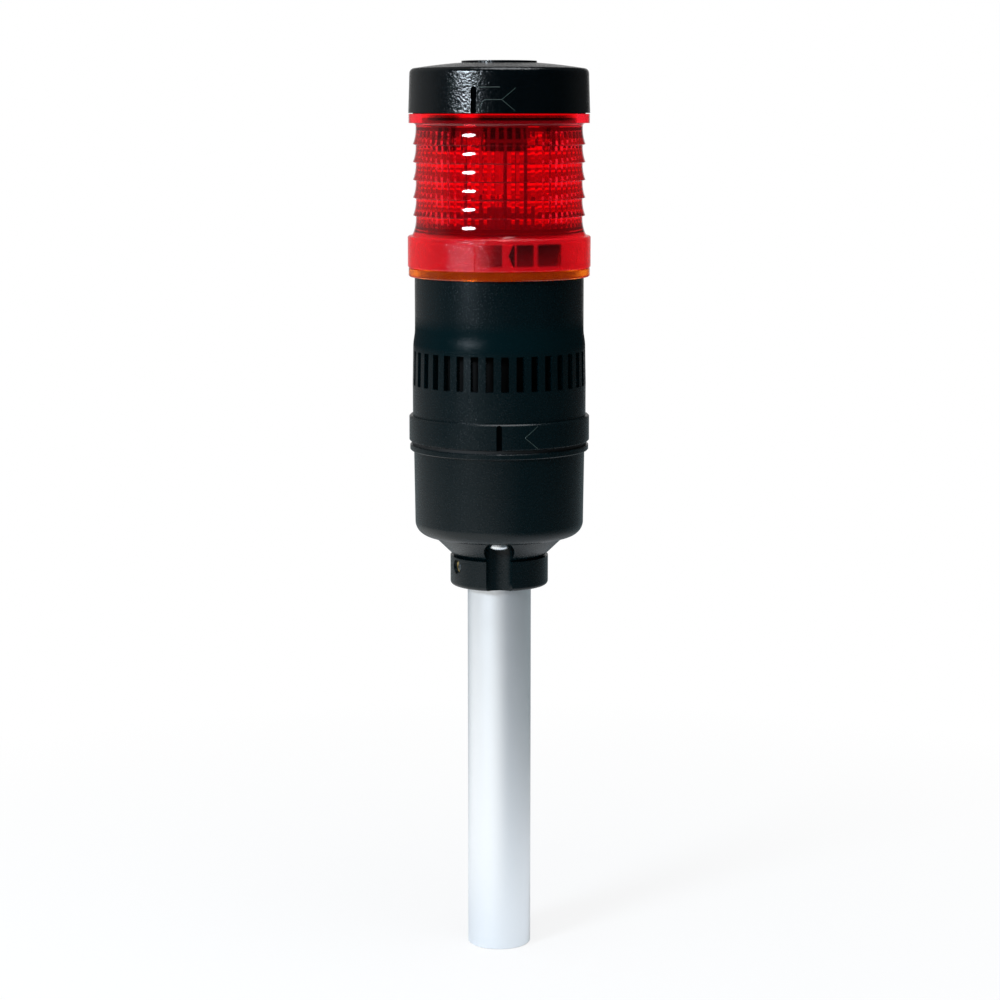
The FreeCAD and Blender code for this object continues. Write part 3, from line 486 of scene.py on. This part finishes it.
# %% Circuit boards and light chips
def board(name, base, copper, rough):
    """Solder resist over copper. The copper shows as slightly raised spots of another shade."""
    finish = Finish(name)
    between = finish.ramp(finish.grains(2.2 * MM), 0.32, 0.36)
    finish.colour(finish.mix(between, copper, base))
    finish.rough(finish.ramp(between, 0.0, 1.0, rough, rough + 0.1))
    finish.bump(1 - between, 0.03 * MM)


def light_chip():
    """A yellow phosphor drop under a thin clear coat."""
    finish = Finish("led_chip", Coat_Weight=0.4)
    clouds = finish.noise(0.8 * MM)
    finish.colour(finish.mix(clouds, rgb(0.86, 0.66, 0.16), rgb(0.95, 0.80, 0.32)))
    finish.rough(finish.ramp(clouds, 0.3, 0.7, 0.25, 0.4))


board("circuit_board", rgb(0.012, 0.10, 0.045), rgb(0.03, 0.20, 0.09), 0.3)
board("led_board", rgb(0.80, 0.81, 0.79), rgb(0.70, 0.72, 0.70), 0.35)
light_chip()
print("finishes", len(finishes))

# %% [markdown]
# ### Finishes onto pieces
# The record gives each construction piece a material slot, and each slot has a finish of the same name.
# So one loop puts every finish on its pieces, which is shorter and safer than a line for each piece.

# %% Put the finishes on the construction pieces
slot_of = {part["node"]: part["material_slot"] for part in frame["record"]["subparts"]}
for node, slot in slot_of.items():
    piece = frame["nodes"][node]
    piece.data.materials.clear()
    piece.data.materials.append(finishes[slot].material)
print("pieces with a finish", len(slot_of))

# %% [markdown]
# ## Raised marks
# A thin raised arrow on the sounder's rim and another on the cap's show which way to turn. They could be
# drawn with curves by hand, but then they would lie flat. Geometry Nodes take a flat line, wrap it round
# the rim and give it a round section, so one recipe serves both rims.

# %% Recipes in Geometry Nodes
class Recipe(Sheet):
    """A Geometry Nodes tree with named inputs. It turns a base mesh into a finished piece."""

    def __init__(self, name, **inputs):
        tree = bpy.data.node_groups.new(name, "GeometryNodeTree")
        super().__init__(tree)
        tree.interface.new_socket("Geometry", in_out="INPUT", socket_type="NodeSocketGeometry")
        self.sockets = {}
        for label, kind in inputs.items():
            socket = tree.interface.new_socket(label, in_out="INPUT", socket_type=kind)
            self.sockets[label] = socket.identifier
        tree.interface.new_socket("Geometry", in_out="OUTPUT", socket_type="NodeSocketGeometry")
        self.given = self.add("NodeGroupInput").outputs

    def level(self, label):
        return Level(self, self.given[label])

    def end(self, geometry):
        """Real faces in the given material leave the tree."""
        real = self.add("GeometryNodeRealizeInstances", None, {0: geometry})
        values = {"Geometry": real.outputs[0], "Distance": 0.001 * MM}
        merged = self.add("GeometryNodeMergeByDistance", None, values)
        values = {"Geometry": merged.outputs[0], "Material": self.given["Finish"]}
        self.add("NodeGroupOutput", None, {0: self.add("GeometryNodeSetMaterial", None, values).outputs[0]})

    def make(self, name, points, edges, body, slot, finish, **values):
        """Run the recipe on points joined by edges, and keep the result as a plain mesh."""
        mesh = bpy.data.meshes.new(name + "_base")
        mesh.from_pydata(points, edges, [])
        base = bpy.data.objects.new(name + "_base", mesh)
        bpy.context.scene.collection.objects.link(base)
        modifier = base.modifiers.new("recipe", "NODES")
        modifier.node_group = self.tree
        for label, value in dict(values, Finish=finish.material).items():
            modifier[self.sockets[label]] = value
        evaluated = base.evaluated_get(bpy.context.evaluated_depsgraph_get())
        plain_mesh = bpy.data.meshes.new_from_object(evaluated)
        plain_mesh.name = name
        bpy.data.objects.remove(base)
        piece = bpy.data.objects.new(name, plain_mesh)
        bpy.context.scene.collection.objects.link(piece)
        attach(piece, body)
        print(name, len(plain_mesh.polygons), "faces")


# %% Wrap a flat line round a rim
def wrapped_line():
    """A line in the plane of X and Z becomes a round ridge on a rim of the given radius."""
    kinds = {"Radius": "NodeSocketFloat", "Width": "NodeSocketFloat", "Finish": "NodeSocketMaterial"}
    recipe = Recipe("wrapped_line", **kinds)
    curve = recipe.add("GeometryNodeMeshToCurve", None, {"Mesh": recipe.given["Geometry"]})
    values = {"Curve": curve.outputs[0], "Length": 0.3 * MM}
    fine = recipe.add("GeometryNodeResampleCurve", {"mode": "LENGTH"}, values)
    axes = recipe.split(recipe.add("GeometryNodeInputPosition").outputs[0])
    radius = recipe.level("Radius")
    turn = axes[0] / radius
    around = {"X": turn.apply("SINE") * radius, "Y": turn.apply("COSINE") * radius * -1, "Z": axes[2]}
    place = recipe.add("ShaderNodeCombineXYZ", None, around)
    values = {"Geometry": fine.outputs[0], "Position": place.outputs[0]}
    bent = recipe.add("GeometryNodeSetPosition", None, values)
    values = {"Resolution": 8, "Radius": recipe.level("Width") * 0.5}
    section = recipe.add("GeometryNodeCurvePrimitiveCircle", {"mode": "RADIUS"}, values)
    values = {"Curve": bent.outputs[0], "Profile Curve": section.outputs[0], "Fill Caps": True}
    recipe.end(recipe.add("GeometryNodeCurveToMesh", None, values).outputs[0])
    return recipe


line_recipe = wrapped_line()
dark, pale = rgb(0.012, 0.026, 0.024), rgb(0.022, 0.040, 0.036)
ridge = moulded("ridge_plastic", dark, pale, 0.30, BODY_GRAIN, BODY_DEPTH)
print("recipe", line_recipe.tree.name)

# %% [markdown]
# Each mark is listed as lines of points. A point has a place round the rim, in degrees from the front, and a
# height above the joint, in millimetres.

# %% Make the marks
def mark(name, body, slot, radius, joint, lines):
    points = []
    edges = []
    for line in lines:
        for step, (place, height) in enumerate(line):
            points.append((math.radians(place) * radius, 0, joint + height * MM))
            if step:
                edges.append((len(points) - 2, len(points) - 1))
    line_recipe.make(name, points, edges, body, slot, ridge, Radius=radius, Width=0.30 * MM)


def chevron(place, height, run=8.5, rise=4.3):
    """The open arrow head: the end of one arm, the point, and the end of the other arm."""
    return [[(place + run, height + rise), (place, height), (place + run, height - rise)]]


ARROW_HEIGHT = 4.9
sounder_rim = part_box("sounder_housing")[1].x - 0.01 * MM
mark("sounder_arrow", "sounder", "black_plastic", sounder_rim, SOUNDER_JOINT, chevron(16.2, ARROW_HEIGHT))

# The cap narrows a little above its joint. Its arrow has a bent shaft with a straight line above it.
cap_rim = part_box("top_cap")[1].x - 0.16 * MM
shaft = [(-11.6, 1.5), (-11.3, 2.9), (-10.2, 4.2), (-8.4, ARROW_HEIGHT), (1.6, ARROW_HEIGHT)]
upper_line = [(-13.0, 9.5), (0.4, 9.5)]
cap_lines = chevron(1.6, ARROW_HEIGHT) + [shaft, upper_line]
mark("cap_arrow", "cap", "cap_plastic", cap_rim, CAP_JOINT, cap_lines)

# %% [markdown]
# ## Screw threads
# The three adapter screws are plain rods in the construction model. A thread is one ridge wound round the
# rod. It could be cut with a boolean, but a three-sided section swept along the path of the spiral curve
# node gives the same ridge with few faces.

# %% Wind a thread
def thread_recipe():
    """A short length of thread at each given point."""
    names = ("Radius", "Pitch", "Length")
    kinds = dict({name: "NodeSocketFloat" for name in names}, Finish="NodeSocketMaterial")
    recipe = Recipe("thread", **kinds)
    radius, pitch, length = [recipe.level(name) for name in names]
    values = {"Resolution": 14, "Rotations": length / pitch, "Height": length}
    values.update({"Start Radius": radius, "End Radius": radius})
    spiral = recipe.add("GeometryNodeCurveSpiral", None, values)
    values = {"Resolution": 3, "Radius": pitch * 0.5}
    section = recipe.add("GeometryNodeCurvePrimitiveCircle", {"mode": "RADIUS"}, values)
    values = {"Curve": spiral.outputs[0], "Profile Curve": section.outputs[0], "Fill Caps": True}
    ridge_mesh = recipe.add("GeometryNodeCurveToMesh", None, values)
    spots = recipe.add("GeometryNodeMeshToPoints", None, {"Mesh": recipe.given["Geometry"]})
    values = {"Points": spots.outputs[0], "Instance": ridge_mesh.outputs[0]}
    recipe.end(recipe.add("GeometryNodeInstanceOnPoints", None, values).outputs[0])
    return recipe


threads = thread_recipe()
insert_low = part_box("adapter_inserts")[0].z
screw_circle = 21.6 * MM
spots = []
for place in (0, 120, 240):
    angle = math.radians(place)
    spots.append((screw_circle * math.sin(angle), -screw_circle * math.cos(angle), insert_low))
sizes = {"Radius": 1.85 * MM, "Pitch": 0.7 * MM, "Length": 2.2 * MM}
threads.make("adapter_screw_threads", spots, [], "base", "zinc_steel", finishes["zinc_steel"], **sizes)

# %% [markdown]
# ## Studio
# The light stands on a white table in a white room. Black gloss would turn grey if it mirrored that white,
# so the table and the room ask what kind of ray sees them. The camera sees them white. Glossy surfaces see
# them dark, with a paler part at the left. One small, wide lamp at the left in front draws the highlights,
# and a large one overhead fills in from above.

# %% Table
def table_white():
    """White to the camera. Glossy surfaces see it dark, but for a bright patch at the left."""
    material = bpy.data.materials.new("table_white")
    material.use_nodes = True
    sheet = Sheet(material.node_tree)
    sheet.tree.nodes.clear()
    rays = sheet.add("ShaderNodeLightPath").outputs
    seen = Level(sheet, rays["Is Camera Ray"]).most(Level(sheet, rays["Is Transmission Ray"]))
    glossy = Level(sheet, rays["Is Glossy Ray"])
    place = sheet.add("ShaderNodeTexCoord").outputs["Object"]
    turn = sheet.turn(place)
    length = sheet.add("ShaderNodeVectorMath", {"operation": "LENGTH"}, {0: place})
    reach = Level(sheet, length.outputs["Value"])
    far = sheet.ramp(reach, 0.12, 0.42)
    left = (sheet.ramp(turn, -170.0, -105.0) - sheet.ramp(turn, -15.0, 30.0)) * sheet.ramp(reach, 0.05, 0.14)
    left = left * sheet.ramp(reach, 0.60, 0.80, 1.0, 0.45)
    sides = sheet.ramp(turn.apply("ABSOLUTE"), 25.0, 100.0, 0.08, 0.24) * far
    glows = (
        (seen * (far * 0.2 + 0.8), rgb(1, 1, 1), 1.0),
        (glossy * far, rgb(0.74, 0.93, 1.0), sides),
        (glossy * left, rgb(1.0, 1.0, 0.98), 1.12),
    )
    surface = sheet.add("ShaderNodeBsdfDiffuse", None, {"Color": rgb(0.85, 0.86, 0.87)}).outputs[0]
    for mask, colour, strength in glows:
        glow = sheet.add("ShaderNodeEmission", None, {"Color": colour, "Strength": strength}).outputs[0]
        surface = sheet.add("ShaderNodeMixShader", None, {0: mask, 1: surface, 2: glow}).outputs[0]
    sheet.add("ShaderNodeOutputMaterial", None, {"Surface": surface})
    return material


def table():
    """A flat sheet just under the pole's end. It keeps the part's shadow and lights the part from below."""
    half, gap = 0.9, 0.2 * MM
    corners = [(-half, -half, -gap), (half, -half, -gap), (half, 2 * half, -gap), (-half, 2 * half, -gap)]
    mesh = bpy.data.meshes.new("table")
    mesh.from_pydata(corners, [], [(0, 1, 2, 3)])
    mesh.materials.append(table_white())
    piece = bpy.data.objects.new("table", mesh)
    bpy.context.scene.collection.objects.link(piece)


table()
print("made the table")

# %% World
def world():
    """White to the camera. Glossy surfaces see a dim room, paler at the left and behind the part."""
    room = bpy.data.worlds.new("studio")
    bpy.context.scene.world = room
    room.use_nodes = True
    sheet = Sheet(room.node_tree)
    sheet.tree.nodes.clear()
    rays = sheet.add("ShaderNodeLightPath").outputs
    direction = sheet.add("ShaderNodeTexCoord").outputs["Generated"]
    turn = sheet.turn(direction)
    left = sheet.window(turn, -160.0, -82.0, 30.0) * 0.24
    right = sheet.window(turn, 100.0, 165.0, 30.0) * 0.04
    behind = sheet.ramp(sheet.split(direction)[1], 0.92, 0.985, 0.0, 0.6)
    mirrored = left + right + behind + 0.006
    glossy = Level(sheet, rays["Is Glossy Ray"])
    white = Level(sheet, rays["Is Camera Ray"]).most(Level(sheet, rays["Is Transmission Ray"]))
    plain_light = (1 - white.most(glossy)) * 0.45
    strength = white.most(glossy * mirrored) + plain_light
    glow = sheet.add("ShaderNodeBackground", None, {"Color": rgb(1, 1, 1), "Strength": strength})
    sheet.add("ShaderNodeOutputWorld", None, {"Surface": glow.outputs[0]})


world()
print("made the room")


# %% Lamps
def soft_lamp(name, place, width, height, watts, tint):
    """An oval lamp that points at a spot a little above the part's middle."""
    lamp = bpy.data.lights.new(name, "AREA")
    lamp.shape = "ELLIPSE"
    lamp.size = width
    lamp.size_y = height
    lamp.energy = watts
    lamp.color = tint
    target = Vector((0, 0, HEIGHT * 0.6))
    piece = bpy.data.objects.new(name, lamp)
    piece.location = place
    piece.rotation_euler = (target - Vector(place)).to_track_quat("-Z", "Y").to_euler()
    bpy.context.scene.collection.objects.link(piece)


soft_lamp("key_lamp", (-0.72, -0.80, 0.60), width=0.36, height=0.14, watts=10.5, tint=(0.80, 0.90, 1.0))
soft_lamp("top_lamp", (0.1, -0.2, 1.3), width=0.8, height=0.8, watts=7, tint=(0.93, 0.97, 1.0))
print("lamps", len(bpy.data.lights))

# %% [markdown]
# ## Camera
# A long lens from about a metre, at the height of the cap's joint, looking down by less than ten degrees.

# %% Camera
def camera(place, lens, look_down):
    data = bpy.data.cameras.new("camera")
    data.lens = lens
    data.sensor_width = 36
    piece = bpy.data.objects.new("camera", data)
    piece.location = place
    piece.rotation_euler = (math.radians(90 - look_down), 0, 0)
    bpy.context.scene.collection.objects.link(piece)
    bpy.context.scene.camera = piece
    bpy.context.scene.view_settings.view_transform = "Standard"
    print("camera", round(-place[1], 3), "m away, looking down by", look_down, "degrees")


camera((0.0003, -0.973, 0.330), lens=90, look_down=8.77)

# %% [markdown]
# ## Sizes
# The finished model must stay inside the construction model's box, so both boxes are written down.

# %% Compare the boxes and finish
def plain(corners):
    return [[float(value) for value in corner] for corner in corners]
